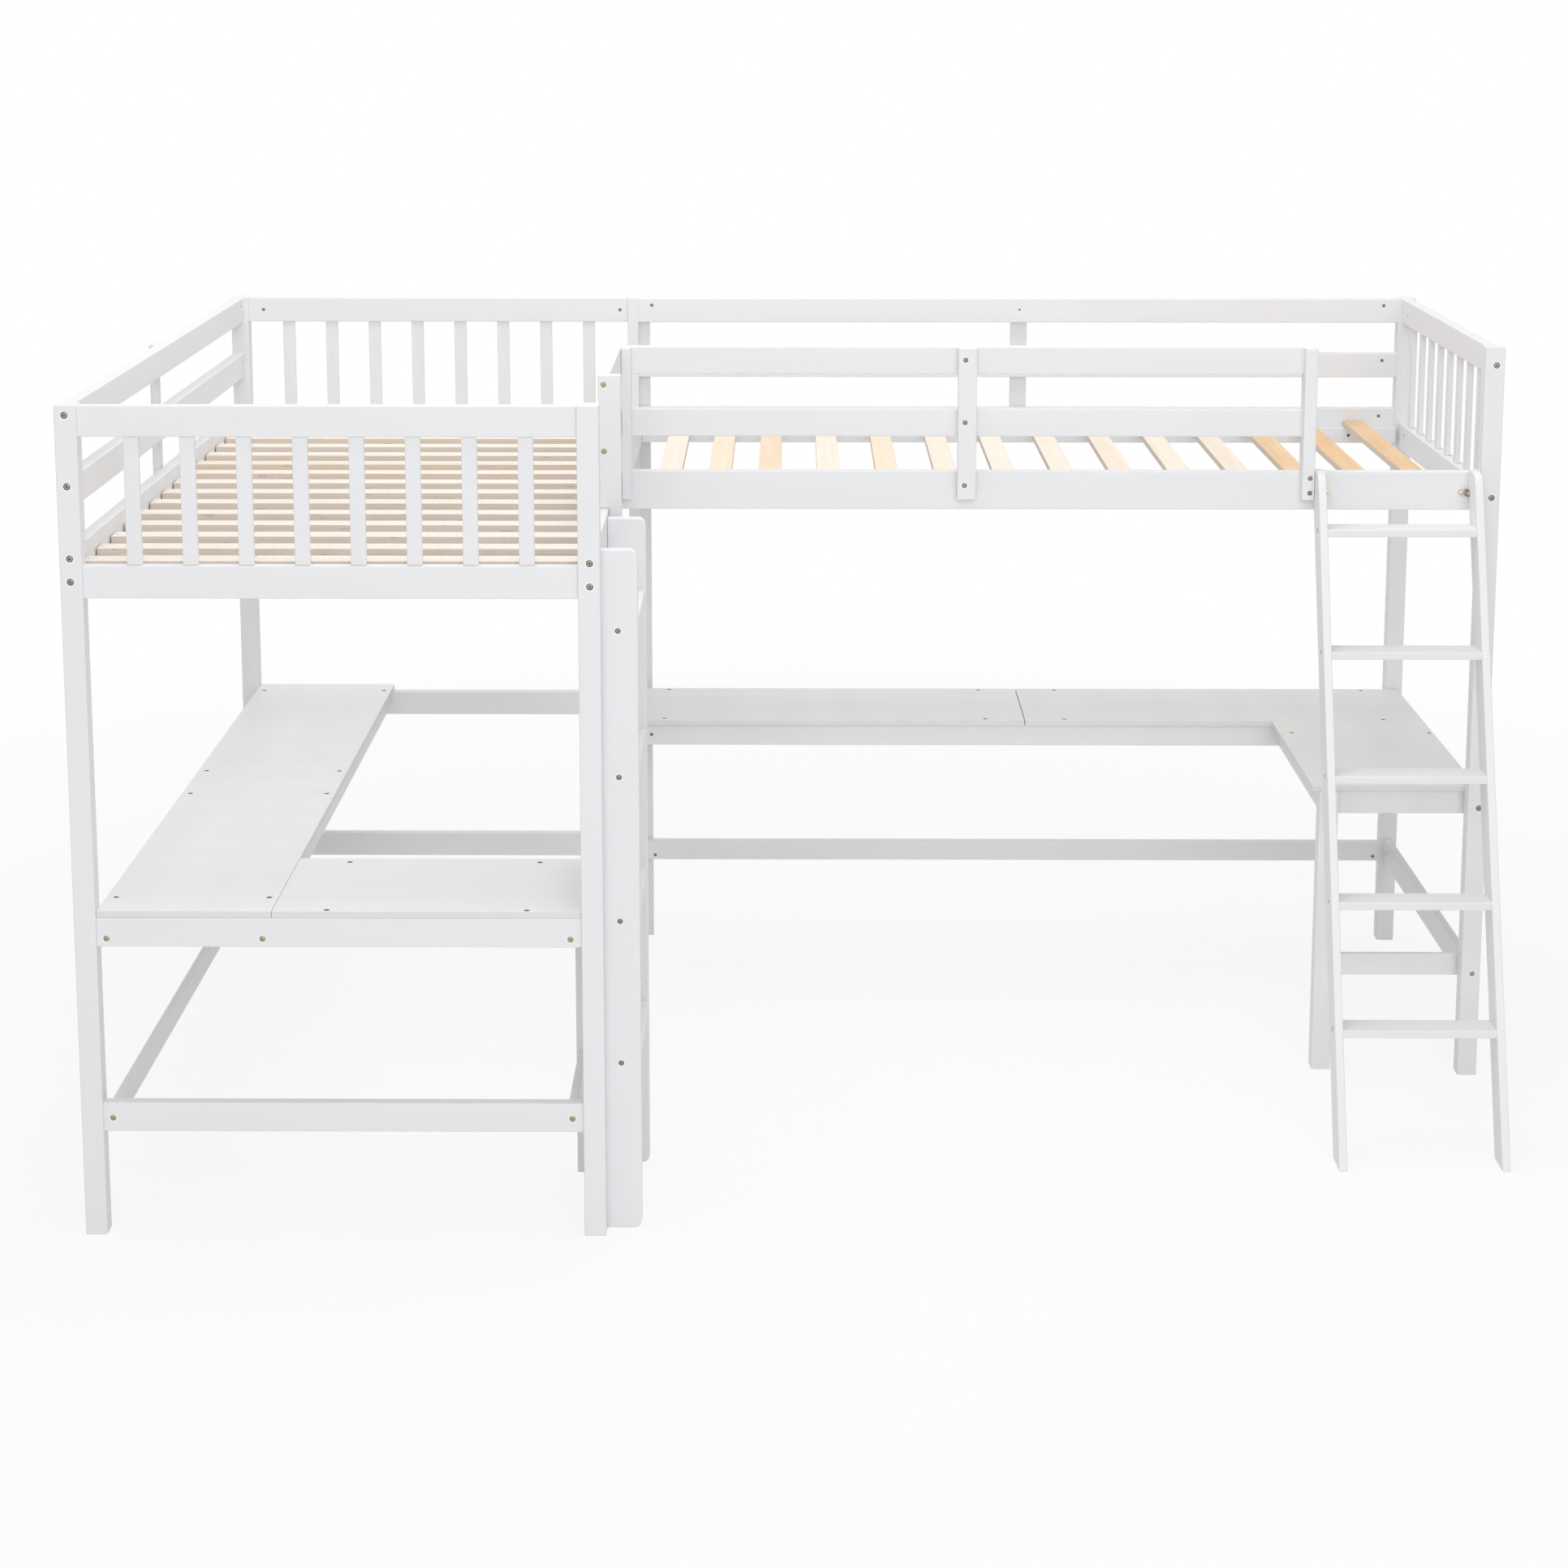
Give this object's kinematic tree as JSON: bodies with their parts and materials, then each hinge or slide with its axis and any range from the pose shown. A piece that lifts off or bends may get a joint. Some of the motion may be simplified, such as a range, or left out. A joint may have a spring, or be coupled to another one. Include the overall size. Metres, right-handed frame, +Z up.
{
  "type": "l-shaped loft bed",
  "caption": "Corner loft bed: raised twin beds at a right angle over a wrap-around desk shelf, with guard rails, an upright ladder and a leaning ladder.",
  "frame": {"origin": "on the floor under the middle of the whole bed", "axes": "+X to the right along bed B, +Y to the wall behind bed B, +Z up"},
  "size_m": [3.0664, 2.02, 1.719],
  "materials": {
    "white_paint": "smooth white satin paint over solid wood",
    "bare_wood": "planed bare pine with knots",
    "bolt_bronze": "dark bronze bolts and barrel nuts"
  },
  "bodies": {
    "root": {"post_a_front_left": "white_paint", "post_a_front_right": "white_paint", "post_a_back_left": "white_paint", "post_middle_back": "white_paint", "post_b_back_right": "white_paint", "post_b_front_right": "white_paint", "leg_b_front_left": "white_paint", "desk_leg_a": "white_paint", "desk_leg_b": "white_paint", "side_rail_a_left": "white_paint", "side_rail_a_right": "white_paint", "side_rail_b_front": "white_paint", "side_rail_b_back": "white_paint", "end_panel_a_front": "white_paint", "end_panel_a_back": "white_paint", "end_panel_b_right": "white_paint", "guard_a_left": "white_paint", "guard_a_right": "white_paint", "guard_b_front": "white_paint", "guard_b_back": "white_paint", "slat_base_a": "bare_wood", "slat_base_b": "bare_wood", "desk_board_a_side_front": "white_paint", "desk_board_a_side_back": "white_paint", "desk_board_a_front": "white_paint", "desk_board_b_back_left": "white_paint", "desk_board_b_back_right": "white_paint", "desk_board_b_end": "white_paint", "desk_rail_a_front": "white_paint", "desk_rail_a_back": "white_paint", "desk_rail_a_left": "white_paint", "desk_rail_a_inner": "white_paint", "desk_rail_a_right": "white_paint", "desk_rail_a_cross": "white_paint", "desk_rail_b_left": "white_paint", "desk_rail_b_front": "white_paint", "desk_rail_b_back": "white_paint", "desk_rail_b_right": "white_paint", "desk_rail_b_end_left": "white_paint", "desk_rail_b_end_front": "white_paint", "stretcher_a_front": "white_paint", "stretcher_a_back": "white_paint", "stretcher_a_left": "white_paint", "stretcher_a_right": "white_paint", "stretcher_b_back": "white_paint", "stretcher_b_right": "white_paint", "stretcher_b_front": "white_paint", "ladder_a_side_front": "white_paint", "ladder_a_side_back": "white_paint", "ladder_a_tread_1": "white_paint", "ladder_a_tread_2": "white_paint", "ladder_a_tread_3": "white_paint", "ladder_a_tread_4": "white_paint", "ladder_b_side_left": "white_paint", "ladder_b_side_right": "white_paint", "ladder_b_tread_1": "white_paint", "ladder_b_tread_2": "white_paint", "ladder_b_tread_3": "white_paint", "ladder_b_tread_4": "white_paint", "ladder_b_tread_5": "white_paint"}
  },
  "joints": []
}
